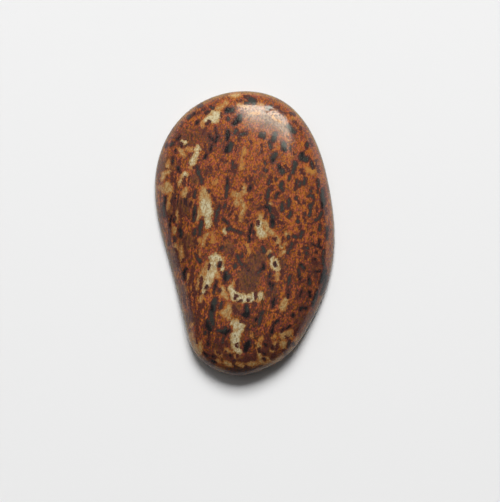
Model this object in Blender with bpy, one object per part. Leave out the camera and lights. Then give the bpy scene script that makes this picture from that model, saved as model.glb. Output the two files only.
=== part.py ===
"""A tumbled and polished pebble of mugglestone, lying on the small flat spot under it.

The pebble is one solid. A sphere, made from a finely cut cube, is drawn out to a measured outline
seen from above, and takes the height of a full, cushion-like crown over that outline.
Blender units are metres, with +Z up. The design below is in millimetres.
"""

import math

import bmesh
import bpy
import numpy as np
from mathutils import Vector, noise

MM = 0.001

# The outline seen from above, clockwise from its far end: each point is (x, y) in millimetres.
OUTLINE = [
    (-0.10, 12.30),
    (3.45, 11.40),
    (5.85, 8.70),
    (7.35, 4.05),
    (7.80, -0.60),
    (7.10, -4.70),
    (5.65, -7.85),
    (3.70, -10.55),
    (1.60, -11.80),
    (-0.40, -12.30),
    (-2.70, -11.70),
    (-4.10, -10.55),
    (-5.10, -7.90),
    (-6.43, -2.65),
    (-7.65, 2.45),
    (-7.50, 6.30),
    (-5.30, 10.25),
]
OUTLINE_STEPS = 720

# The point that every height of the pebble narrows towards, as (x, y).
HEART = (0.15, 0.45)

# The widest line lies low, and rises towards both ends: its middle height above the lowest point, how
# far it goes above and below that, and how closely the rise keeps to the ends (2 is a plain wave).
RIM_HEIGHT = 0.7
RIM_RISE_TO_ENDS = 0.5
RIM_RISE_POWER = 5

# The crown's height above the widest line, and how much of the underside is worn flat.
CROWN_HEIGHT = 2.8
FLAT_WEAR = 0.012

# Fullness is the power of the outline's share in the height: 2 is an ellipse, more is squarer.
CROWN_FULLNESS = 2.8
CROWN_FULLNESS_TO_EAST = 0.3
KEEL_FULLNESS = 2.6

# How steeply the crown leaves the widest line: 0.5 is an ellipse's edge, more is gentler.
CROWN_EDGE = 0.58

# Tumbling leaves broad, shallow swells on the crown: their share of its height, and their length.
SWELL_SHARE = 0.12
SWELL_LENGTH = 9.0
SWELL_OFFSET = Vector((3.1, 8.4, 1.7))

# Cuts across each face of the cube that the sphere is made from.
CUTS = 25

STONE_COLOUR = (0.36, 0.12, 0.035, 1.0)
STONE_ROUGHNESS = 0.16


def closed_spline(points, steps):
    """Points along the smooth closed curve (a periodic cubic spline) through the given points."""
    knots = np.array(points)
    count = len(knots)
    ahead = np.roll(knots, -1, axis=0) - knots
    span = np.linalg.norm(ahead, axis=1)
    slope = ahead / span[:, None]
    before = np.roll(span, 1)
    system = np.zeros((count, count))
    for i in range(count):
        system[i, i - 1] = before[i]
        system[i, i] = 2 * (before[i] + span[i])
        system[i, (i + 1) % count] += span[i]
    bend = np.linalg.solve(system, 6 * (slope - np.roll(slope, 1, axis=0)))
    starts = np.concatenate([[0], np.cumsum(span)])
    along = np.linspace(0, starts[-1], steps, endpoint=False)
    i = np.searchsorted(starts, along, side="right") - 1
    j = (i + 1) % count
    left = (starts[i + 1] - along) / span[i]
    right = 1 - left
    curved = (left**3 - left)[:, None] * bend[i] + (right**3 - right)[:, None] * bend[j]
    return left[:, None] * knots[i] + right[:, None] * knots[j] + curved * (span[i] ** 2 / 6)[:, None]


def outline_reach():
    """The outline as two rows: the angle round the heart, rising, and how far the outline is there."""
    curve = closed_spline(OUTLINE, OUTLINE_STEPS) - np.array(HEART)
    angle = np.arctan2(curve[:, 1], curve[:, 0])
    order = np.argsort(angle)
    return angle[order], np.linalg.norm(curve, axis=1)[order]


def crown_fullness(angle):
    """The crown is squarer towards the east, at angle 0, and falls away more gently to the west."""
    return CROWN_FULLNESS + CROWN_FULLNESS_TO_EAST * math.cos(angle)


def on_pebble(direction, angles, reaches):
    """The pebble's surface point, in millimetres, for a unit direction from the sphere's middle."""
    share = min(math.hypot(direction.x, direction.y), 1.0)
    angle = math.atan2(direction.y, direction.x)
    reach = np.interp(angle, angles, reaches, period=2 * math.pi)
    x = HEART[0] + share * reach * math.cos(angle)
    y = HEART[1] + share * reach * math.sin(angle)
    rise = RIM_RISE_TO_ENDS * (2 * abs(math.sin(angle)) ** RIM_RISE_POWER - 1)
    if direction.z < 0:
        return Vector((x, y, (RIM_HEIGHT + rise) * (1 - math.sqrt(1 - share**KEEL_FULLNESS))))
    swell = 1 + SWELL_SHARE * noise.noise(Vector((x, y, 0)) / SWELL_LENGTH + SWELL_OFFSET)
    dome = CROWN_HEIGHT * swell * (1 - share ** crown_fullness(angle)) ** CROWN_EDGE
    return Vector((x, y, RIM_HEIGHT + rise * share**2 + dome))


def sphere_from_cube(cuts):
    """A unit sphere of even quads: a cube cut into a grid, with its points drawn onto the sphere."""
    ball = bmesh.new()
    bmesh.ops.create_cube(ball, size=2.0)
    bmesh.ops.subdivide_edges(ball, edges=ball.edges[:], cuts=cuts, use_grid_fill=True)
    for vert in ball.verts:
        even = Vector([math.tan(part * math.pi / 4) for part in vert.co])
        vert.co = even.normalized()
    return ball


def wear_flat(pebble):
    """Cuts the lowest part of the underside off flat and closes it with one face."""
    lowest = min(vert.co.z for vert in pebble.verts)
    parts = pebble.verts[:] + pebble.edges[:] + pebble.faces[:]
    cut = bmesh.ops.bisect_plane(
        pebble,
        geom=parts,
        dist=1e-5,
        plane_co=(0, 0, lowest + FLAT_WEAR),
        plane_no=(0, 0, -1),
        clear_outer=True,
    )
    rim = [part for part in cut["geom_cut"] if isinstance(part, bmesh.types.BMEdge)]
    bmesh.ops.edgeloop_fill(pebble, edges=rim)


def stand_at_origin(pebble):
    """Moves the pebble so that the middle of its box is over the origin and its base is at z = 0."""
    places = np.array([vert.co for vert in pebble.verts])
    low, high = places.min(axis=0), places.max(axis=0)
    middle = (low + high) / 2
    bmesh.ops.translate(pebble, verts=pebble.verts, vec=(-middle[0], -middle[1], -low[2]))


def stone_material():
    """Polished iron-rich jasper."""
    material = bpy.data.materials.new("polished_mugglestone")
    material.use_nodes = True
    shader = material.node_tree.nodes["Principled BSDF"]
    shader.inputs["Base Color"].default_value = STONE_COLOUR
    shader.inputs["Roughness"].default_value = STONE_ROUGHNESS
    shader.inputs["Metallic"].default_value = 0.0
    return material


def make_stone(collection):
    """The pebble as one named object."""
    angles, reaches = outline_reach()
    pebble = sphere_from_cube(CUTS)
    for vert in pebble.verts:
        vert.co = on_pebble(vert.co, angles, reaches)
    wear_flat(pebble)
    stand_at_origin(pebble)
    bmesh.ops.scale(pebble, verts=pebble.verts, vec=(MM, MM, MM))
    bmesh.ops.recalc_face_normals(pebble, faces=pebble.faces)
    mesh = bpy.data.meshes.new("stone")
    pebble.to_mesh(mesh)
    pebble.free()
    mesh.shade_smooth()
    stone = bpy.data.objects.new("stone", mesh)
    stone.data.materials.append(stone_material())
    collection.objects.link(stone)


def main():
    for old in list(bpy.data.objects):
        bpy.data.objects.remove(old, do_unlink=True)
    collection = bpy.data.collections.new("mugglestone")
    bpy.context.scene.collection.children.link(collection)
    make_stone(collection)


main()
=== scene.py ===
"""A tumbled and polished pebble of mugglestone on a pale floor, in soft light from above.

The pebble is one fine mesh that stands for the solid of the part. It follows the same outline and the
same crown, with its markings laid on as named strokes. Lengths are millimetres until a mesh is made.
"""

import math

import bmesh
import bpy
import numpy as np
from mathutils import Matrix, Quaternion, Vector, noise


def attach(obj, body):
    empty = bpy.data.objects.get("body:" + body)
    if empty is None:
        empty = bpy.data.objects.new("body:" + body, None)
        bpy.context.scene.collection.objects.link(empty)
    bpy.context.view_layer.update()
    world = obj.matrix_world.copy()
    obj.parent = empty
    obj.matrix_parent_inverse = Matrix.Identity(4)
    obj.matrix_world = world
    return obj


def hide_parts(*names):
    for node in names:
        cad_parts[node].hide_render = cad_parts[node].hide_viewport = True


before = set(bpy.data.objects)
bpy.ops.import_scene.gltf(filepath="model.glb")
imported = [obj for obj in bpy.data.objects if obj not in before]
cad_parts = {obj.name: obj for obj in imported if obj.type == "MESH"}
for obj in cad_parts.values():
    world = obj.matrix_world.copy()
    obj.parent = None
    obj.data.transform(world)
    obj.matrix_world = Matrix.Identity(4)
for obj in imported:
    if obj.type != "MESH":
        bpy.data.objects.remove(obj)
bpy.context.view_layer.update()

MM = 0.001

# The outline seen from above, clockwise from its far end, as (x, y).
OUTLINE = [
    (-0.10, 12.30),
    (3.45, 11.40),
    (5.85, 8.70),
    (7.35, 4.05),
    (7.80, -0.60),
    (7.10, -4.70),
    (5.65, -7.85),
    (3.70, -10.55),
    (1.60, -11.80),
    (-0.40, -12.30),
    (-2.70, -11.70),
    (-4.10, -10.55),
    (-5.10, -7.90),
    (-6.43, -2.65),
    (-7.65, 2.45),
    (-7.50, 6.30),
    (-5.30, 10.25),
]
OUTLINE_STEPS = 720

# The point that every height of the pebble narrows towards, as (x, y).
HEART = np.array((0.15, 0.45))

# The rim is the widest line. It lies low, and rises towards both ends: its middle height, how far it
# goes above and below that, and how closely the rise keeps to the ends.
RIM_HEIGHT = 0.7
RIM_RISE_TO_ENDS = 0.5
RIM_RISE_POWER = 5

# The crown's height above the rim, and how much of the underside is worn flat.
CROWN_HEIGHT = 2.8
FLAT_WEAR = 0.012

# Fullness is the power of the outline's share in the height: 2 is an ellipse, more is squarer. The
# crown's edge is how steeply it leaves the rim: 0.5 is an ellipse's, more is gentler.
CROWN_FULLNESS = 2.8
CROWN_FULLNESS_TO_EAST = 0.3
KEEL_FULLNESS = 2.6
CROWN_EDGE = 0.58

# Tumbling leaves broad, shallow swells on the crown: their share of its height, and their length.
SWELL_SHARE = 0.12
SWELL_LENGTH = 9.0
SWELL_OFFSET = Vector((3.1, 8.4, 1.7))

# Cuts across each face of the cube that the pebble is made from.
CUTS = 125

# The eye looks down at the aim from a little to the south of straight above. The lens follows from the
# picture's longer side, in pixels, and its scale.
EYE_ELEVATION = math.radians(84)
TOWARD_EYE = np.array((0, -math.cos(EYE_ELEVATION), math.sin(EYE_ELEVATION)))
EYE_DISTANCE = 200.0
NEAREST_SEEN = 10.0
AIM = np.array((0.49, -1.57, RIM_HEIGHT))
PICTURE_SIDE = 502
PIXELS_PER_MM = 11.6
SENSOR = 36.0

# The soft daylight, and the bright panes that show in the polish, as seen from the stone: the azimuth
# and elevation of the middle and the roll, all in degrees, then the width, the height and the power.
LIGHT_DISTANCE = 900.0
DAYLIGHT = (88, 47.5, 0, 510.0, 390.0, 10.8)
SIDELIGHT = (150, 45, 0, 700.0, 500.0, 0.5)
PANES = {
    "low_panes": (69, 35.2, 21, 820.0, 150.0, 2.3),
    "middle_panes": (66, 39.4, 21, 760.0, 290.0, 4.2),
    "high_panes": (64, 42.6, 21, 660.0, 390.0, 3.2),
}
PANE_COLOUR = (0.98, 1.0, 0.86)

# The floor is plain, dull and pale.
FLOOR_SIDE = 3000.0
FLOOR_COLOUR = (0.80, 0.80, 0.80, 1.0)
FLOOR_ROUGHNESS = 0.9
FLOOR_GLOSS = 0.2

# The surroundings are brightest high up on the far side, and dim on the near side.
SURROUNDINGS_BRIGHT_SIDE = (0.0, 0.6, 0.5)
SURROUNDINGS_BRIGHT = (0.20, 0.20, 0.20, 1.0)
SURROUNDINGS_DIM = (0.035, 0.035, 0.035, 1.0)

# Markings on the crown, placed as seen by the eye at the height of the rim.
# Each stroke is a chain of (x, y, half width) that the marking runs through.
CREAM = [
    ((-2.35, 10.3, 0.26), (-2.6, 9.95, 0.3)), ((-2.7, 10.5, 0.12), (-2.45, 10.3, 0.2)),
    ((-3.35, 9.85, 0.11), (-2.95, 10.1, 0.15)), ((-5.32, 7.9, 0.12), (-5.15, 7.9, 0.08)),
    ((-4.05, 7.4, 0.1), (-4.15, 6.95, 0.13), (-4.28, 6.6, 0.14)), ((-4.35, 6.5, 0.12), (-4.5, 6.15, 0.19)),
    ((-3.35, 2.65, 0.33), (-3.3, 2.2, 0.38), (-3.2, 1.8, 0.34), (-3.15, 1.2, 0.18), (-3.15, 0.6, 0.12)),
    ((-5.05, 5.12, 0.12), (-5.15, 5.0, 0.08)), ((-1.74, 0.3, 0.03), (-1.67, 0.05, 0.05)),
    ((1.35, 0.95, 0.12), (1.3, 0.4, 0.13), (1.5, -0.1, 0.25)),
    ((-2.78, -2.2, 0.18), (-2.7, -2.8, 0.28), (-2.85, -3.4, 0.32), (-3.02, -3.9, 0.26)),
    ((-3.02, -3.9, 0.26), (-3.2, -4.4, 0.18), (-3.5, -5.1, 0.09)),
    ((-2.5, -1.95, 0.08), (-2.25, -2.22, 0.15), (-2.1, -2.45, 0.11)),
    ((-1.9, -2.9, 0.07), (-1.92, -3.2, 0.09)),
    ((-1.2, -4.75, 0.13), (-0.95, -5.15, 0.18), (-0.75, -5.55, 0.3), (-0.35, -5.6, 0.28), (0.1, -5.7, 0.26)),
    ((0.1, -5.7, 0.26), (0.55, -5.65, 0.26), (0.75, -5.4, 0.16)), ((1.45, -5.22, 0.1), (1.35, -5.55, 0.18)),
    ((2.4, -2.2, 0.06), (2.35, -2.6, 0.07), (2.6, -3.0, 0.09), (2.88, -3.12, 0.11)),
    ((2.72, -2.35, 0.04), (2.88, -2.7, 0.05), (2.92, -3.0, 0.09)),
    ((-0.95, -7.7, 0.12), (-0.6, -8.05, 0.27), (-0.3, -8.15, 0.22)),
    ((-0.45, -8.55, 0.17), (-0.85, -8.95, 0.22), (-0.75, -9.25, 0.3)),
    ((-0.75, -9.4, 0.22), (-0.7, -9.95, 0.22), (-0.42, -10.25, 0.11)),
]
TAN = [
    ((-3.55, 3.95, 0.12), (-3.45, 3.4, 0.34), (-3.4, 2.8, 0.38)), ((-0.85, 3.4, 0.16), (-0.45, 3.22, 0.16)),
    ((-0.65, 2.75, 0.13), (-0.65, 2.45, 0.14)), ((-3.9, 2.1, 0.08), (-3.95, 1.6, 0.11), (-4.1, 1.2, 0.07)),
    ((-5.0, 5.2, 0.09), (-5.35, 4.9, 0.1), (-5.55, 4.45, 0.11), (-5.6, 4.2, 0.08)),
    ((-5.02, 3.8, 0.12), (-5.2, 3.3, 0.17)), ((-4.7, 5.7, 0.08), (-4.42, 5.6, 0.09)),
    ((-6.65, 4.15, 0.27), (-6.5, 3.85, 0.27), (-6.85, 3.75, 0.22)), ((-7.1, 3.85, 0.14), (-7.4, 4.0, 0.08)),
    ((-6.5, 5.3, 0.1), (-6.95, 5.2, 0.08), (-7.12, 4.6, 0.07)), ((-6.45, 6.2, 0.08), (-6.62, 5.85, 0.1)),
    ((-6.6, 2.65, 0.06), (-6.7, 2.1, 0.07)), ((-5.85, 1.8, 0.05), (-5.85, 1.0, 0.06)),
    ((-6.03, 0.45, 0.08), (-6.1, 0.1, 0.06)), ((-5.92, -1.1, 0.09), (-5.8, -1.35, 0.07)),
    ((-5.45, -1.2, 0.06), (-5.4, -1.9, 0.09), (-5.35, -2.3, 0.09)),
    ((-5.6, 7.35, 0.1), (-5.35, 6.9, 0.11), (-5.2, 6.7, 0.07)), ((-4.85, 7.3, 0.09), (-4.62, 7.3, 0.1)),
    ((-3.65, 9.6, 0.08), (-3.52, 9.25, 0.07)),
    ((-2.35, 10.85, 0.12), (-2.0, 11.0, 0.1), (-1.55, 11.42, 0.07)),
    ((-1.1, 12.02, 0.11), (-0.5, 12.08, 0.12)), ((-0.05, 3.55, 0.15), (0.0, 3.95, 0.1), (0.05, 4.25, 0.07)),
    ((-0.3, 2.75, 0.07), (-0.1, 2.4, 0.11), (0.05, 2.1, 0.07)), ((-0.15, 1.95, 0.09), (-0.22, 1.6, 0.08)),
    ((1.4, 1.5, 0.18), (1.4, 1.0, 0.26), (1.2, 0.4, 0.26), (1.6, -0.1, 0.4)),
    ((-0.6, 11.25, 0.06), (0.2, 11.1, 0.07)), ((1.0, 11.3, 0.05), (1.6, 11.2, 0.06)),
    ((1.75, 0.95, 0.14), (1.95, 0.3, 0.24), (2.25, 0.1, 0.17), (2.5, -0.05, 0.12)),
    ((2.05, 2.5, 0.12), (2.28, 2.48, 0.1)), ((2.75, -0.35, 0.1), (2.95, -0.7, 0.17), (2.85, -0.9, 0.1)),
    ((3.08, -1.2, 0.08), (3.25, -1.2, 0.09), (3.45, -0.95, 0.06)), ((2.2, -1.6, 0.11), (1.98, -1.8, 0.13)),
    ((3.52, -1.6, 0.1), (3.15, -1.85, 0.08)), ((3.58, 0.02, 0.1), (3.78, -0.2, 0.14)),
    ((2.92, -3.55, 0.1), (2.82, -3.95, 0.11)),
    ((-3.2, -0.05, 0.07), (-3.35, -0.4, 0.09), (-3.5, -0.8, 0.07), (-3.6, -1.1, 0.05)),
    ((-3.15, -2.6, 0.06), (-3.5, -3.2, 0.08), (-3.72, -3.7, 0.06)),
    ((-3.35, -3.4, 0.12), (-3.45, -3.9, 0.09), (-3.45, -4.6, 0.12), (-3.6, -5.2, 0.07)),
    ((-3.9, -4.1, 0.05), (-4.05, -4.85, 0.05)), ((-3.62, -5.1, 0.07), (-3.75, -5.9, 0.07)),
    ((-2.42, -3.3, 0.08), (-2.3, -3.75, 0.09)), ((-1.85, -2.2, 0.08), (-1.85, -3.0, 0.07)),
    ((-1.97, -4.65, 0.11), (-1.78, -5.2, 0.2), (-1.55, -5.6, 0.11)),
    ((-1.0, -4.4, 0.08), (-1.22, -4.85, 0.16)), ((0.35, -5.85, 0.1), (0.75, -5.75, 0.12), (1.2, -5.8, 0.1)),
    ((-1.3, -6.45, 0.24), (-1.45, -6.75, 0.3), (-1.8, -6.85, 0.2), (-1.3, -7.3, 0.12)),
    ((-4.25, -9.3, 0.12), (-4.15, -9.9, 0.18), (-3.95, -10.4, 0.12)),
    ((2.6, -11.15, 0.1), (3.2, -10.8, 0.12)), ((4.1, -9.9, 0.08), (4.6, -9.2, 0.1)),
    ((-0.95, -7.45, 0.08), (-0.55, -7.9, 0.34), (-0.15, -8.1, 0.2)),
    ((-0.25, -8.4, 0.13), (-0.5, -8.65, 0.17)),
    ((3.7, -5.75, 0.14), (3.42, -6.1, 0.25), (3.25, -6.6, 0.17)),
    ((3.2, -8.75, 0.14), (3.6, -8.68, 0.15), (3.95, -8.6, 0.16)), ((3.35, -9.45, 0.14), (3.4, -9.9, 0.13)),
    ((1.2, -9.6, 0.12), (1.2, -10.2, 0.09), (1.35, -10.75, 0.19), (1.4, -11.2, 0.16)),
    ((2.65, -9.5, 0.08), (2.58, -9.9, 0.09)), ((2.3, -10.15, 0.08), (2.5, -10.22, 0.07)),
    ((1.8, -10.75, 0.1), (2.0, -10.9, 0.08)), ((-3.8, -9.5, 0.1), (-3.8, -10.3, 0.12)),
    ((-1.6, -11.2, 0.13), (-1.2, -11.4, 0.1)), ((-0.55, -11.3, 0.08), (-0.2, -11.4, 0.08)),
    ((3.35, -9.0, 0.18), (3.9, -8.8, 0.24)), ((3.1, -9.6, 0.12), (3.7, -9.5, 0.14)),
    ((-1.55, -10.15, 0.09), (-1.2, -10.35, 0.09)), ((-2.35, -10.3, 0.09), (-2.05, -10.5, 0.09)),
    ((-2.6, -10.95, 0.08), (-2.2, -11.05, 0.1)), ((0.4, -11.35, 0.09), (0.95, -11.25, 0.1)),
    ((-0.8, -10.6, 0.06), (-0.5, -10.75, 0.08)), ((1.9, -11.2, 0.08), (2.4, -10.9, 0.08)),
    ((-4.55, -8.7, 0.07), (-4.6, -9.3, 0.08)),
]
GOLD = [
    ((0.0, 7.3, 0.14), (-0.1, 7.0, 0.2), (-0.12, 6.75, 0.12)),
    ((-0.2, 6.45, 0.1), (-0.22, 6.1, 0.15), (-0.25, 5.7, 0.16)), ((-6.2, 3.45, 0.12), (-6.6, 3.0, 0.13)),
    ((-2.7, -0.1, 0.13), (-2.75, -0.8, 0.11)), ((-3.8, -0.55, 0.09), (-3.85, -0.9, 0.07)),
    ((-3.85, -1.5, 0.07), (-3.85, -1.8, 0.07)), ((0.28, -1.0, 0.08), (0.4, -1.75, 0.12)),
    ((-0.3, 1.4, 0.12), (-0.3, 1.15, 0.13)), ((-4.82, -3.6, 0.09), (-4.85, -4.3, 0.07)),
    ((2.6, -8.9, 0.14), (2.5, -9.1, 0.13)), ((-4.5, -7.85, 0.1), (-4.6, -8.0, 0.07)),
    ((0.55, -8.6, 0.08), (0.6, -8.9, 0.08)), ((5.5, 5.5, 0.22), (6.0, 5.35, 0.2)),
    ((4.2, 10.0, 0.15), (4.3, 9.95, 0.12)), ((-2.45, 4.5, 0.15), (-2.6, 4.3, 0.12)),
    ((1.45, -9.1, 0.12), (1.3, -9.3, 0.1)), ((0.5, 10.45, 0.05), (1.3, 10.5, 0.08)),
    ((2.4, 10.15, 0.06), (3.1, 9.65, 0.08)),
]
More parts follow.
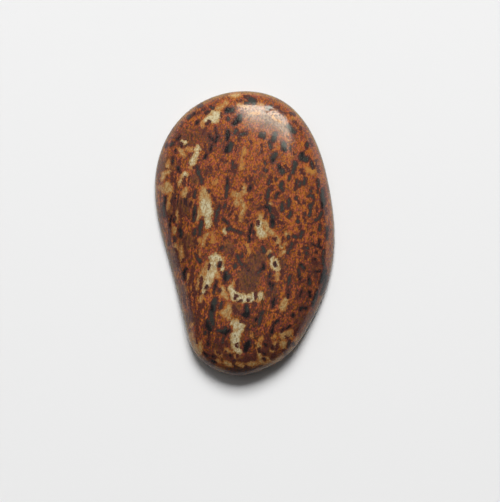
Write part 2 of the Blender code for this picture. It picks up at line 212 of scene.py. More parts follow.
MAROON = [
    ((-5.4, 9.7, 0.07), (-5.5, 9.3, 0.09)), ((-3.35, 9.25, 0.06), (-3.5, 8.9, 0.09), (-3.6, 8.7, 0.09)),
    ((-2.05, 10.38, 0.06), (-2.05, 10.15, 0.08)), ((-3.4, 7.6, 0.12), (-3.35, 7.0, 0.12)),
    ((-1.8, 7.8, 0.07), (-1.75, 7.4, 0.08)), ((-4.7, 6.8, 0.07), (-4.7, 6.7, 0.08)),
    ((-5.6, 6.25, 0.08), (-5.65, 6.05, 0.08)), ((-0.6, 11.5, 0.08), (-0.35, 11.6, 0.09)),
    ((0.45, 8.05, 0.07), (0.55, 7.85, 0.08)), ((-0.65, 7.75, 0.06), (-0.75, 7.1, 0.07)),
    ((1.5, 7.8, 0.08), (1.5, 7.0, 0.07)), ((1.85, 11.1, 0.08), (1.95, 10.8, 0.08)),
    ((2.5, 10.95, 0.08), (3.0, 10.95, 0.08)), ((3.0, 10.7, 0.08), (3.6, 10.35, 0.08)),
    ((5.7, 8.15, 0.05), (5.9, 7.6, 0.07)), ((4.3, 7.05, 0.08), (4.3, 6.85, 0.08)),
    ((4.6, 9.3, 0.08), (4.9, 9.0, 0.09)), ((4.3, 9.75, 0.09), (4.5, 9.55, 0.08)),
    ((5.5, 7.5, 0.12), (5.2, 7.3, 0.08)), ((-6.3, 5.2, 0.05), (-6.3, 4.4, 0.06)),
    ((-5.95, 5.0, 0.05), (-5.95, 3.2, 0.06)), ((-5.15, 4.85, 0.08), (-5.25, 4.3, 0.09)),
    ((-4.72, 4.95, 0.07), (-4.8, 4.5, 0.08)), ((-4.65, 3.5, 0.09), (-4.85, 3.2, 0.11)),
    ((-2.35, 0.9, 0.08), (-2.45, 0.55, 0.09)), ((-2.87, 5.7, 0.06), (-2.9, 5.3, 0.07)),
    ((-3.05, 5.95, 0.06), (-3.2, 5.5, 0.07)), ((-3.35, 5.2, 0.09), (-3.4, 5.1, 0.07)),
    ((-2.3, 6.0, 0.07), (-2.4, 5.5, 0.07)), ((-2.8, 3.4, 0.08), (-2.6, 3.0, 0.08), (-2.45, 2.6, 0.09)),
    ((-1.95, 6.35, 0.1), (-1.5, 6.2, 0.1)), ((-2.15, 3.0, 0.05), (-1.9, 3.0, 0.06)),
    ((-0.95, 5.4, 0.08), (-0.8, 5.3, 0.11)), ((-1.35, 5.35, 0.07), (-1.2, 5.35, 0.07)),
    ((-0.3, 4.1, 0.08), (-0.45, 3.75, 0.08)), ((0.1, 4.9, 0.08), (0.15, 4.35, 0.09)),
    ((0.45, 4.9, 0.12), (0.75, 4.6, 0.16), (0.5, 4.6, 0.13)), ((3.55, 5.85, 0.11), (3.8, 5.5, 0.13)),
    ((2.3, 5.0, 0.06), (2.35, 4.4, 0.06), (2.35, 3.7, 0.06)), ((1.85, 1.9, 0.08), (1.85, 1.75, 0.09)),
    ((2.5, 2.1, 0.16), (2.8, 1.6, 0.16)), ((2.75, 1.3, 0.08), (2.9, 0.8, 0.1)),
    ((0.3, 1.9, 0.05), (0.3, 1.5, 0.06)), ((-0.7, 1.5, 0.06), (-0.65, 1.1, 0.06)),
    ((-1.02, 2.25, 0.08), (-0.98, 2.15, 0.07)), ((-1.2, 2.45, 0.07), (-1.35, 2.05, 0.06)),
    ((0.7, 3.0, 0.07), (0.6, 2.88, 0.07)), ((3.4, 0.7, 0.06), (3.3, 0.05, 0.07)),
    ((3.0, 0.95, 0.13), (3.4, 0.8, 0.14)), ((1.2, 0.95, 0.08), (1.15, 0.75, 0.07)),
    ((1.85, 1.42, 0.1), (1.8, 1.28, 0.09)), ((6.3, 2.3, 0.06), (6.2, 1.6, 0.06)),
    ((6.35, 5.9, 0.1), (6.45, 5.3, 0.09)), ((4.85, 5.5, 0.13), (5.1, 5.15, 0.12)),
    ((4.7, 2.8, 0.09), (4.72, 2.6, 0.09)), ((5.15, 1.25, 0.07), (5.22, 1.1, 0.07)),
    ((6.1, 1.0, 0.1), (5.6, 0.75, 0.11)), ((4.9, 0.6, 0.06), (4.8, 0.3, 0.07)),
    ((5.5, 0.5, 0.06), (5.5, 0.2, 0.07)), ((7.05, 2.1, 0.05), (7.05, 1.6, 0.05)),
    ((6.9, 1.4, 0.05), (6.9, 1.0, 0.05)), ((-4.38, -0.7, 0.09), (-4.15, -0.92, 0.08)),
    ((-4.4, -2.95, 0.1), (-4.5, -3.7, 0.15), (-4.68, -4.45, 0.11)),
    ((-3.85, -6.2, 0.06), (-4.0, -7.2, 0.08)), ((-4.92, -1.95, 0.07), (-4.9, -2.08, 0.07)),
    ((-5.22, -2.35, 0.07), (-5.25, -2.45, 0.07)), ((-4.0, -1.3, 0.06), (-4.05, -1.75, 0.07)),
    ((-3.15, -0.95, 0.08), (-3.2, -1.08, 0.07)), ((-1.3, -0.35, 0.09), (-1.75, -0.5, 0.08)),
    ((-1.0, -1.45, 0.06), (-1.1, -2.0, 0.07)), ((-3.2, -5.08, 0.08), (-3.35, -5.25, 0.1)),
    ((-2.0, -3.38, 0.07), (-1.95, -3.5, 0.06)), ((-3.0, -2.5, 0.05), (-3.1, -3.05, 0.05)),
    ((-3.7, -4.0, 0.07), (-3.78, -4.6, 0.08), (-3.85, -5.3, 0.08)),
    ((-4.6, -4.9, 0.05), (-4.7, -5.4, 0.06)), ((-4.2, -5.15, 0.07), (-4.25, -5.6, 0.09)),
    ((-0.7, -0.62, 0.07), (-0.72, -0.78, 0.07)), ((1.55, -0.75, 0.08), (1.58, -0.88, 0.08)),
    ((0.7, -0.4, 0.1), (0.72, -0.6, 0.1)), ((3.32, -0.35, 0.07), (3.3, -0.9, 0.08)),
    ((2.65, -0.5, 0.08), (2.55, -0.55, 0.06)), ((2.88, -1.1, 0.06), (2.85, -1.35, 0.07)),
    ((0.08, -1.45, 0.05), (0.12, -1.75, 0.05)), ((0.65, -1.95, 0.1), (0.4, -2.2, 0.1)),
    ((3.3, -3.3, 0.12), (3.2, -3.9, 0.13)), ((2.5, -3.95, 0.07), (2.4, -4.0, 0.06)),
    ((-0.5, -4.2, 0.13), (-0.6, -4.9, 0.12)), ((0.95, -5.2, 0.09), (1.0, -5.6, 0.09)),
    ((4.02, -4.6, 0.06), (4.0, -4.8, 0.07)), ((2.1, -5.15, 0.12), (2.2, -5.5, 0.11)),
    ((4.4, -0.8, 0.08), (4.42, -0.88, 0.07)), ((5.8, 0.1, 0.05), (5.8, -0.25, 0.06)),
    ((5.1, -0.9, 0.06), (5.9, -0.88, 0.07)), ((5.32, -2.1, 0.07), (5.22, -2.4, 0.06)),
    ((4.68, -1.75, 0.07), (4.72, -1.88, 0.07)), ((6.1, -2.6, 0.11), (6.3, -2.7, 0.11)),
    ((4.75, -4.3, 0.12), (5.1, -4.2, 0.1)), ((6.1, -3.55, 0.1), (6.25, -3.85, 0.13)),
    ((4.6, -5.5, 0.1), (4.45, -5.7, 0.1)), ((6.2, 6.3, 0.1), (6.2, 5.95, 0.1)),
    ((6.75, -4.2, 0.12), (6.3, -5.2, 0.12)), ((-3.5, -5.98, 0.07), (-3.65, -6.5, 0.09)),
    ((-3.45, -8.05, 0.06), (-3.4, -8.2, 0.06)), ((-4.12, -6.95, 0.06), (-4.15, -7.6, 0.07)),
    ((-4.65, -6.0, 0.05), (-4.65, -6.5, 0.06)), ((-4.1, -9.1, 0.06), (-4.1, -9.5, 0.07)),
    ((-2.35, -8.9, 0.08), (-2.35, -9.45, 0.06)), ((-2.12, -9.75, 0.1), (-2.05, -9.85, 0.1)),
    ((-2.3, -10.25, 0.1), (-2.1, -10.4, 0.11)), ((-1.6, -10.25, 0.06), (-1.6, -10.65, 0.07)),
    ((-0.55, -9.62, 0.07), (-0.58, -9.85, 0.09)), ((-0.3, -7.55, 0.08), (0.1, -7.7, 0.08)),
    ((-0.95, -6.35, 0.13), (-0.7, -6.85, 0.17)), ((0.85, -6.0, 0.1), (0.75, -6.4, 0.1)),
    ((3.82, -6.4, 0.09), (3.8, -6.6, 0.08)), ((3.35, -6.9, 0.06), (3.32, -7.2, 0.07)),
    ((1.05, -6.72, 0.07), (1.05, -6.85, 0.07)), ((5.0, -7.8, 0.12), (4.7, -8.3, 0.18), (4.35, -8.75, 0.12)),
    ((3.7, -9.0, 0.06), (3.7, -9.2, 0.06)), ((2.88, -9.6, 0.09), (2.75, -10.15, 0.1)),
    ((1.92, -8.9, 0.1), (2.1, -9.3, 0.1)), ((2.55, -10.5, 0.14), (2.4, -10.8, 0.15)),
    ((3.0, -10.2, 0.08), (3.5, -10.12, 0.08)), ((0.2, -10.55, 0.1), (0.2, -11.0, 0.12)),
    ((0.95, -10.2, 0.1), (0.9, -10.9, 0.1)), ((-0.6, -10.6, 0.1), (-0.5, -10.8, 0.08)),
    ((4.5, -7.55, 0.08), (4.45, -7.7, 0.08)), ((5.15, -7.2, 0.07), (5.1, -7.5, 0.07)),
    ((2.95, -6.7, 0.07), (2.85, -6.9, 0.06)), ((-1.35, -10.62, 0.06), (-1.2, -10.62, 0.06)),
    ((-0.45, -10.95, 0.06), (-0.32, -11.02, 0.06)), ((0.35, -10.88, 0.08), (0.52, -10.75, 0.07)),
    ((0.9, -10.6, 0.06), (0.8, -10.3, 0.06)), ((3.6, -8.92, 0.05), (3.62, -9.08, 0.05)),
    ((3.88, -9.0, 0.04), (3.95, -8.92, 0.04)), ((-2.0, -9.55, 0.07), (-1.95, -9.95, 0.08)),
    ((-1.5, -9.3, 0.05), (-1.52, -9.7, 0.06)),
    ((-6.68, 1.65, 0.07), (-6.52, 0.4, 0.1), (-6.36, -0.9, 0.06)),
    ((-6.15, 3.4, 0.06), (-6.05, 2.3, 0.08), (-6.04, 1.2, 0.06)),
    ((-5.52, 2.5, 0.07), (-5.48, 1.7, 0.09), (-5.4, 0.8, 0.06)),
    ((-5.18, -0.5, 0.06), (-5.1, -1.3, 0.08), (-5.05, -2.2, 0.05)),
    ((-5.93, -1.4, 0.06), (-5.8, -2.3, 0.1), (-5.6, -3.3, 0.07)),
    ((-4.42, -4.4, 0.06), (-4.32, -5.4, 0.08), (-4.2, -6.5, 0.05)),
    ((-4.74, -5.5, 0.06), (-4.64, -6.5, 0.09), (-4.5, -7.6, 0.06)),
    ((-4.1, -7.2, 0.06), (-4.05, -8.0, 0.08), (-3.99, -8.7, 0.05)),
    ((-5.3, -4.6, 0.06), (-5.15, -5.6, 0.08), (-4.98, -6.5, 0.06)),
]
BLACK = [
    ((-4.3, 10.45, 0.08), (-4.45, 10.32, 0.11)), ((-4.72, 10.15, 0.11), (-4.88, 10.02, 0.08)),
    ((-3.12, 10.65, 0.07), (-3.38, 10.42, 0.08)), ((-3.5, 10.82, 0.06), (-3.58, 10.75, 0.06)),
    ((-3.98, 10.5, 0.06), (-4.05, 10.38, 0.06)), ((-3.05, 9.7, 0.08), (-3.25, 9.5, 0.09)),
    ((-4.05, 9.75, 0.11), (-4.15, 9.55, 0.12)), ((-5.6, 8.42, 0.12), (-5.8, 8.15, 0.12)),
    ((-2.78, 7.65, 0.11), (-2.95, 7.2, 0.14)), ((-3.28, 6.85, 0.08), (-3.4, 6.55, 0.15)),
    ((-1.42, 8.9, 0.12), (-1.42, 8.5, 0.19), (-1.5, 8.1, 0.13)),
    ((-1.2, 7.72, 0.24), (-1.35, 7.38, 0.3), (-1.65, 7.02, 0.1)),
    ((-1.5, 10.7, 0.22), (-1.12, 10.72, 0.22)), ((-1.42, 10.05, 0.1), (-1.42, 9.88, 0.12)),
    ((-2.5, 9.2, 0.06), (-2.45, 8.65, 0.08)), ((-3.1, 8.55, 0.11), (-2.7, 8.1, 0.11)),
    ((-6.15, 7.85, 0.07), (-6.38, 7.62, 0.08)), ((-6.7, 7.8, 0.06), (-6.8, 7.5, 0.06)),
    ((-5.95, 7.18, 0.06), (-5.92, 7.05, 0.06)), ((-5.5, 7.8, 0.07), (-5.42, 7.52, 0.07)),
    ((-2.55, 7.95, 0.13), (-2.25, 8.45, 0.1)), ((-3.72, 11.18, 0.07), (-3.95, 11.02, 0.07)),
    ((-2.9, 11.02, 0.1), (-2.75, 10.95, 0.1)), ((0.55, 11.62, 0.24), (0.78, 11.5, 0.28)),
    ((0.12, 11.35, 0.1), (0.4, 11.35, 0.12)), ((0.0, 11.9, 0.06), (0.5, 11.85, 0.07)),
    ((-0.38, 10.22, 0.17), (-0.52, 9.88, 0.3), (-0.95, 9.5, 0.14)),
    ((-0.7, 8.98, 0.11), (-0.83, 8.65, 0.11)), ((-0.28, 8.6, 0.13), (0.13, 8.68, 0.13)),
    ((-0.38, 8.5, 0.07), (-0.5, 8.05, 0.06)), ((1.45, 8.7, 0.13), (1.42, 8.45, 0.16)),
    ((1.75, 8.65, 0.09), (1.7, 8.25, 0.11)), ((2.66, 8.62, 0.19), (2.5, 8.15, 0.23)),
    ((2.15, 7.98, 0.11), (2.28, 7.42, 0.12)), ((2.72, 6.9, 0.14), (2.48, 6.5, 0.21), (2.42, 6.2, 0.14)),
    ((1.8, 6.2, 0.07), (1.82, 6.02, 0.07)), ((3.4, 7.85, 0.18), (3.42, 7.5, 0.23), (3.5, 7.2, 0.15)),
    ((3.88, 9.28, 0.18), (4.1, 9.0, 0.24), (4.32, 8.78, 0.15)), ((4.0, 7.42, 0.07), (4.0, 7.3, 0.07)),
    ((2.32, 11.05, 0.08), (2.18, 10.84, 0.11)), ((5.0, 6.88, 0.2), (4.98, 6.55, 0.27), (5.35, 6.42, 0.24)),
    ((5.45, 7.78, 0.14), (5.45, 7.62, 0.14)), ((4.05, 10.45, 0.07), (4.32, 10.32, 0.07)),
    ((-5.75, 5.68, 0.11), (-5.62, 5.38, 0.14)), ((-6.17, 6.55, 0.07), (-6.25, 6.05, 0.08)),
    ((-4.38, 5.68, 0.06), (-4.3, 5.62, 0.06)), ((-4.1, 5.75, 0.13), (-3.98, 5.2, 0.16)),
    ((-3.82, 4.95, 0.11), (-3.66, 4.35, 0.13)), ((-3.06, 3.72, 0.07), (-3.03, 3.6, 0.08)),
    ((-4.22, 3.6, 0.11), (-4.33, 3.15, 0.13)), ((-4.25, 2.3, 0.1), (-4.3, 1.8, 0.14), (-4.4, 1.1, 0.11)),
    ((-3.68, 1.0, 0.12), (-3.8, 0.4, 0.17), (-3.86, -0.15, 0.11)),
    ((-6.3, 1.5, 0.07), (-6.4, 0.9, 0.09), (-6.45, 0.55, 0.06)), ((-6.05, 1.3, 0.07), (-6.07, 0.95, 0.07)),
    ((-5.55, 0.35, 0.12), (-5.48, -0.05, 0.18), (-5.5, -0.3, 0.12)),
    ((-4.25, 0.28, 0.09), (-4.35, -0.1, 0.12)),
    ((-6.85, 3.1, 0.09), (-6.95, 2.2, 0.12), (-6.92, 1.5, 0.09)), ((-6.02, 3.02, 0.07), (-6.15, 3.0, 0.06)),
    ((-4.58, 2.7, 0.06), (-4.7, 2.3, 0.07)),
    ((-1.45, 4.8, 0.07), (-1.46, 4.3, 0.13), (-1.52, 3.8, 0.13), (-1.57, 3.1, 0.09)),
    ((-2.12, 2.42, 0.07), (-2.35, 1.8, 0.11), (-2.47, 1.0, 0.09)), ((-1.65, 2.5, 0.06), (-1.75, 2.2, 0.07)),
    ((-1.85, 1.2, 0.08), (-1.4, 0.85, 0.11)), ((-1.42, 0.3, 0.1), (-1.2, 0.42, 0.11)),
    ((-1.0, 6.2, 0.06), (-1.0, 5.6, 0.07)), ((-0.75, 5.9, 0.07), (-0.75, 5.72, 0.07)),
    ((0.55, 4.1, 0.11), (0.46, 3.78, 0.13)), ((1.72, 5.57, 0.09), (1.9, 5.42, 0.11)),
    ((3.0, 5.85, 0.14), (3.12, 5.55, 0.2), (3.32, 5.33, 0.22)),
    ((4.42, 6.1, 0.2), (4.3, 5.7, 0.17), (4.2, 5.25, 0.13)), ((2.74, 4.72, 0.07), (2.75, 4.58, 0.08)),
    ((2.15, 4.6, 0.08), (2.1, 4.2, 0.09)),
    ((2.1, 3.8, 0.1), (2.03, 3.45, 0.13), (1.95, 2.9, 0.08), (1.95, 2.6, 0.08)),
    ((1.85, 2.27, 0.13), (2.2, 2.2, 0.15), (2.22, 1.92, 0.14)),
    ((3.25, 4.3, 0.17), (3.15, 4.05, 0.18), (3.3, 3.7, 0.09)),
    ((2.93, 3.48, 0.1), (2.8, 3.25, 0.15), (2.68, 3.02, 0.09)), ((3.95, 4.9, 0.07), (3.85, 4.62, 0.08)),
    ((3.86, 2.9, 0.1), (3.84, 2.5, 0.12), (3.78, 2.2, 0.09)),
    ((3.27, 2.55, 0.13), (3.25, 2.2, 0.18), (3.25, 1.9, 0.12)), ((4.05, 1.83, 0.12), (3.87, 1.42, 0.16)),
    ((2.4, 1.45, 0.15), (2.45, 1.0, 0.22), (2.43, 0.65, 0.17)), ((0.1, 1.1, 0.07), (0.25, 1.0, 0.1)),
    ((0.64, 0.75, 0.07), (0.58, 0.35, 0.12), (0.42, -0.3, 0.11), (0.4, -0.7, 0.09)),
    ((0.82, 0.1, 0.08), (0.8, -0.12, 0.08)), ((-1.02, 1.9, 0.07), (-1.28, 1.52, 0.08)),
    ((-1.1, 0.32, 0.09), (-0.6, 0.12, 0.12), (-0.05, -0.1, 0.09)), ((1.18, 2.1, 0.09), (1.45, 2.22, 0.11)),
    ((5.78, 6.12, 0.09), (5.93, 5.75, 0.11)), ((5.25, 4.78, 0.1), (5.2, 4.3, 0.14)),
    ((4.85, 4.38, 0.08), (4.77, 4.12, 0.09)), ((4.53, 4.6, 0.07), (4.4, 3.75, 0.09)),
    ((6.36, 4.58, 0.09), (6.45, 4.05, 0.1)), ((6.35, 3.9, 0.06), (6.3, 3.52, 0.07)),
    ((5.9, 3.88, 0.06), (5.76, 3.62, 0.09)), ((5.52, 3.2, 0.08), (5.78, 3.27, 0.07)),
    ((5.92, 3.28, 0.07), (6.0, 2.95, 0.08)),
    ((6.75, 3.8, 0.1), (6.75, 3.3, 0.19), (6.82, 2.8, 0.25), (6.76, 2.25, 0.14)),
    ((4.5, 3.1, 0.09), (4.5, 2.98, 0.1)), ((5.2, 2.68, 0.06), (5.2, 2.6, 0.05)),
    ((5.95, 2.65, 0.1), (5.68, 2.32, 0.15), (5.75, 1.9, 0.07), (5.62, 1.5, 0.09)),
    ((5.22, 1.7, 0.06), (5.2, 1.6, 0.06)), ((6.7, 1.78, 0.09), (6.52, 1.42, 0.11)),
    ((6.35, 1.22, 0.07), (6.17, 1.1, 0.09)), ((4.66, 1.4, 0.06), (4.62, 0.95, 0.1)),
    ((6.55, 0.8, 0.07), (6.48, 0.25, 0.11)), ((7.18, 0.5, 0.06), (7.15, -0.15, 0.11), (7.1, -0.5, 0.07)),
    ((4.98, 0.12, 0.12), (4.86, -0.3, 0.14)), ((4.25, -0.28, 0.1), (4.48, -0.35, 0.14)),
    ((-1.87, -1.25, 0.11), (-2.02, -1.38, 0.13)),
    ((-4.2, -1.85, 0.06), (-4.02, -2.2, 0.08), (-3.8, -2.5, 0.13)),
    ((-5.02, -3.15, 0.12), (-5.2, -3.5, 0.14), (-5.15, -4.0, 0.1)),
    ((-1.6, -3.45, 0.17), (-1.6, -3.85, 0.25), (-1.28, -3.8, 0.18)),
    ((-1.65, -4.1, 0.1), (-1.7, -4.35, 0.07)), ((-2.08, -2.62, 0.11), (-2.15, -2.9, 0.12)),
    ((-2.42, -4.2, 0.07), (-2.5, -4.65, 0.09), (-2.68, -5.2, 0.08)),
    ((-3.22, -4.65, 0.08), (-3.28, -4.78, 0.09)), ((-2.18, -4.92, 0.1), (-2.12, -5.0, 0.09)),
    ((-0.8, -5.62, 0.04), (-0.8, -5.7, 0.04)), ((-0.7, -5.42, 0.05), (-0.65, -5.48, 0.05)),
    ((-0.52, -5.95, 0.05), (-0.32, -5.86, 0.06)), ((0.37, -5.76, 0.03), (0.34, -5.86, 0.04)),
    ((1.58, -1.3, 0.13), (1.7, -1.6, 0.16)), ((2.28, -1.92, 0.08), (2.12, -2.05, 0.08)),
    ((3.8, -0.35, 0.1), (3.78, -0.48, 0.1)), ((4.1, -0.9, 0.08), (4.02, -1.3, 0.12)),
    ((3.8, -1.3, 0.06), (3.76, -1.8, 0.1)), ((-0.2, -1.85, 0.09), (-0.2, -2.05, 0.1)),
    ((-0.6, -1.95, 0.09), (-0.48, -2.5, 0.12), (-0.2, -2.72, 0.11), (0.1, -2.86, 0.11)),
    ((-0.76, -2.72, 0.09), (-0.8, -3.0, 0.09)), ((0.35, -3.12, 0.09), (0.36, -3.26, 0.08)),
    ((1.62, -2.6, 0.08), (1.66, -3.05, 0.13), (1.3, -3.35, 0.09), (1.1, -3.48, 0.09)),
    ((2.62, -2.62, 0.06), (2.66, -2.8, 0.1)), ((2.25, -3.45, 0.1), (2.15, -3.75, 0.12)),
    ((2.05, -4.12, 0.1), (2.22, -4.5, 0.13)), ((2.5, -4.4, 0.08), (2.35, -4.95, 0.08)),
    ((2.6, -5.65, 0.11), (2.45, -6.05, 0.18), (2.45, -6.4, 0.12)),
    ((3.95, -3.7, 0.09), (3.82, -4.2, 0.13), (3.76, -4.52, 0.07)), ((3.8, -4.95, 0.09), (3.78, -5.55, 0.1)),
    ((6.48, -0.6, 0.07), (6.42, -1.1, 0.1), (6.6, -1.25, 0.09)), ((6.0, -1.08, 0.07), (6.35, -1.15, 0.07)),
    ((5.85, -0.95, 0.08), (5.9, -1.02, 0.08)), ((5.12, -1.32, 0.08), (5.48, -1.3, 0.07)),
    ((5.35, -1.7, 0.11), (5.38, -1.82, 0.11)), ((4.85, -2.8, 0.15), (5.12, -3.02, 0.15)),
    ((4.65, -3.2, 0.09), (4.73, -3.65, 0.13), (4.8, -4.05, 0.08)), ((5.5, -3.7, 0.07), (5.6, -4.35, 0.18)),
    ((6.25, -1.6, 0.07), (6.25, -1.72, 0.07)), ((5.95, -2.3, 0.1), (6.08, -2.3, 0.1)),
    ((6.85, -1.5, 0.07), (6.75, -2.2, 0.1), (6.85, -2.9, 0.1)), ((6.0, -3.35, 0.06), (6.5, -3.3, 0.09)),
    ((6.95, -3.25, 0.15), (6.75, -3.8, 0.23), (6.6, -4.3, 0.15)),
    ((7.1, -3.7, 0.1), (6.9, -4.5, 0.16), (6.6, -5.3, 0.1)),
    ((6.3, -5.0, 0.11), (6.1, -5.6, 0.16), (5.85, -6.3, 0.12)), ((5.6, -5.1, 0.11), (5.62, -5.48, 0.12)),
    ((4.95, -5.05, 0.1), (4.78, -5.45, 0.12)),
    ((-2.5, -5.72, 0.17), (-2.65, -6.2, 0.26), (-2.8, -6.8, 0.2), (-2.85, -7.2, 0.17)),
    ((-2.85, -7.2, 0.17), (-2.75, -7.7, 0.22), (-2.65, -7.95, 0.12)),
    ((-3.2, -7.6, 0.12), (-3.15, -8.1, 0.18), (-2.95, -8.25, 0.25)),
    ((-3.05, -8.6, 0.09), (-3.05, -9.1, 0.06), (-3.1, -9.6, 0.11)),
    ((-1.9, -5.95, 0.06), (-2.08, -6.5, 0.09)), ((-3.35, -8.58, 0.09), (-3.38, -8.72, 0.09)),
    ((-2.28, -8.45, 0.13), (-2.0, -8.5, 0.18), (-1.62, -8.6, 0.23), (-1.35, -8.45, 0.16)),
    ((-1.62, -8.2, 0.09), (-1.62, -8.4, 0.1)), ((-1.65, -8.75, 0.09), (-1.6, -8.88, 0.08)),
    ((-1.8, -9.1, 0.07), (-1.86, -9.6, 0.07)), ((-3.4, -10.4, 0.1), (-3.15, -10.6, 0.13)),
    ((-2.75, -10.62, 0.08), (-2.55, -10.75, 0.1)), ((-2.85, -11.0, 0.08), (-2.5, -11.15, 0.1)),
    ((-1.22, -10.52, 0.09), (-1.1, -10.7, 0.09)),
    ((0.15, -6.2, 0.1), (0.25, -6.7, 0.24), (0.25, -7.2, 0.22)), ((-0.15, -7.05, 0.14), (0.1, -7.1, 0.2)),
    ((0.38, -9.4, 0.17), (0.25, -9.75, 0.26), (0.1, -10.1, 0.17)),
    ((1.6, -6.84, 0.1), (1.42, -6.9, 0.1), (1.4, -7.35, 0.11), (1.3, -7.9, 0.1)),
    ((1.02, -7.38, 0.11), (1.0, -7.55, 0.11)),
    ((2.9, -7.58, 0.1), (2.6, -7.8, 0.11), (2.42, -8.1, 0.11), (2.35, -8.6, 0.14)),
    ((4.85, -6.62, 0.14), (5.0, -6.45, 0.14), (5.3, -6.5, 0.15)),
    ((4.18, -7.08, 0.12), (4.25, -7.18, 0.11)), ((3.95, -8.05, 0.06), (3.62, -8.25, 0.08)),
    ((3.35, -8.32, 0.06), (3.18, -8.48, 0.08)), ((3.92, -9.3, 0.08), (3.8, -9.8, 0.11)),
    ((4.15, -9.55, 0.08), (4.25, -9.65, 0.08)), ((2.32, -9.82, 0.09), (2.4, -9.98, 0.09)),
    ((1.8, -9.6, 0.11), (1.85, -9.85, 0.09)), ((1.62, -10.35, 0.11), (1.78, -10.48, 0.11)),
    ((1.25, -10.05, 0.06), (1.28, -10.18, 0.07)), ((1.68, -10.85, 0.07), (1.75, -10.92, 0.07)),
    ((0.36, -8.0, 0.06), (0.26, -8.32, 0.08)),
]

# Where the ground of the stone is browner, below 0, or cleaner orange, above 0: (x, y, reach, strength).
TONE = [
    (0.6, 10.3, 1.0, -0.7), (2.3, 9.9, 1.0, -0.7), (3.6, 9.2, 0.7, -0.6), (-5.2, 8.4, 1.3, -0.5),
    (-3.2, 8.1, 0.9, -0.35), (-6.8, 6.0, 0.9, -0.9), (-5.3, 2.3, 1.0, -0.8), (-6.9, 2.0, 0.6, -0.9),
    (-5.0, -0.7, 0.8, -0.9), (-6.1, -2.3, 0.9, -1.0), (-5.4, -5.0, 0.8, -0.8), (-4.8, -7.5, 0.7, -0.7),
    (-4.2, 4.7, 0.5, -0.9), (-1.3, -1.2, 0.7, -0.8), (0.4, -4.5, 0.9, -1.1), (0.5, -3.3, 0.9, -1.0),
    (1.3, -2.2, 0.7, -0.9), (0.6, 2.4, 0.7, -0.4), (1.7, 5.0, 0.7, -0.5), (2.6, 1.9, 0.5, -0.6),
    (3.3, -2.6, 0.5, -0.7), (-0.7, -6.6, 0.5, -1.0), (2.4, -5.0, 0.8, -0.5), (6.2, -2.8, 0.9, -0.5),
    (5.0, -7.4, 0.9, -0.6), (-2.3, -10.3, 1.1, -0.5), (2.2, -10.4, 1.0, -0.5), (0.0, -11.4, 1.2, -0.5),
    (-3.8, -4.4, 0.5, -0.3), (5.7, 5.4, 0.6, 0.7), (5.2, 2.2, 0.7, 0.6), (4.3, 1.4, 0.4, 0.6),
    (3.6, 4.8, 0.5, 0.6), (-2.8, 6.4, 0.9, 0.4), (-2.5, 4.3, 0.8, 0.4), (0.8, 7.4, 0.8, 0.3),
    (0.6, 9.2, 0.8, 0.4), (4.9, 7.9, 0.6, 0.6), (4.2, 10.0, 0.5, 0.5), (-4.2, 10.2, 0.6, 0.3),
    (4.2, -2.7, 0.7, 0.4), (4.4, -5.0, 0.5, 0.4), (-0.3, -0.8, 0.6, 0.6), (1.6, -4.7, 0.4, 0.6),
    (-1.7, -7.6, 0.6, 0.5), (-3.0, -5.4, 0.4, 0.5), (3.4, -7.1, 0.5, 0.5), (6.3, 0.5, 0.7, 0.3),
    (-2.9, 0.1, 0.5, 0.4),
]

# Where the ground runs darker, below 0, or brighter, above 0: (x, y, reach, strength). It is partly the
# stone's own darker and brighter ground and partly painted shade and light: darker towards the south end,
# along the bottom rim and down the west and lower east flanks, and brighter towards the north-east, a
# painted light and sheen on the side the light comes from.
OWN_AND_PAINTED_SHADING = [
    (-3.0, 7.7, 1.2, -1.3), (-5.4, 8.2, 1.0, -1.3), (-6.9, 5.4, 0.8, -1.2), (2.8, 5.6, 0.6, -0.5),
    (0.0, 4.2, 0.6, 0.5), (-1.4, 0.0, 0.6, -0.5), (0.7, -3.2, 1.1, -0.4), (2.8, -5.7, 0.8, -0.6),
    (0.6, 11.5, 1.1, 0.8), (2.8, -2.6, 0.8, -0.5), (-4.4, -3.8, 1.0, -1.1), (2.2, -4.4, 1.6, -0.4),
    (-5.6, 2.4, 1.0, -1.1), (5.3, 2.2, 1.1, 0.5), (-1.4, -7.1, 0.7, 1.2), (-2.9, -0.1, 0.6, 0.8),
    (4.3, -9.6, 0.9, 0.7), (4.6, 5.5, 2.6, 0.6), (5.0, 1.5, 2.2, 0.4), (0.8, 7.0, 2.5, 0.3),
    (0.0, -9.8, 4.2, -0.55), (4.0, -7.0, 3.0, -0.5), (-2.2, -6.4, 1.2, 0.5), (-4.2, -7.5, 1.5, -0.4),
    (-4.5, -9.9, 0.9, 1.0), (4.5, -9.9, 0.9, 0.6), (2.9, -11.3, 0.8, 0.6), (4.1, 9.9, 0.7, 0.6),
    (6.6, -4.0, 2.0, -0.5), (-6.5, 0.0, 1.8, -0.5), (-0.5, -11.8, 1.3, -1.6), (2.6, -11.2, 1.0, -0.3),
    (-3.0, -11.3, 0.8, -1.0),
]

# Where the grain is drawn out into long streaks: (x, y, reach, strength).
STREAKED = [
    (-6.0, 3.0, 1.9, 1.0), (-6.0, -1.0, 1.7, 1.0), (-4.6, -4.5, 1.8, 1.0), (-3.6, -7.5, 1.7, 0.8),
    (2.6, -6.0, 1.6, 0.6),
]

# The underside is out of sight, so its strokes are strewn: how many, how long and how wide they are.
UNDER_SEED = 11
UNDER_STROKES = {
    "cream": (16, 0.9, 0.20),
    "tan": (38, 0.7, 0.14),
    "gold": (14, 0.5, 0.12),
    "maroon": (110, 0.4, 0.08),
    "black": (130, 0.4, 0.11),
}
# A strewn stroke's reach from the middle, the mean and spread of its lean in radians, the least and
# most of its share of the length and of the width, and how far it narrows to its tips.
STREWN_REACH = np.array((7.5, 12.0))
STREWN_LEAN = (-0.25, 0.3)
STREWN_LENGTHS = (0.3, 1.0)
STREWN_WIDTHS = (0.6, 1.6)
STREWN_TIP = 0.7
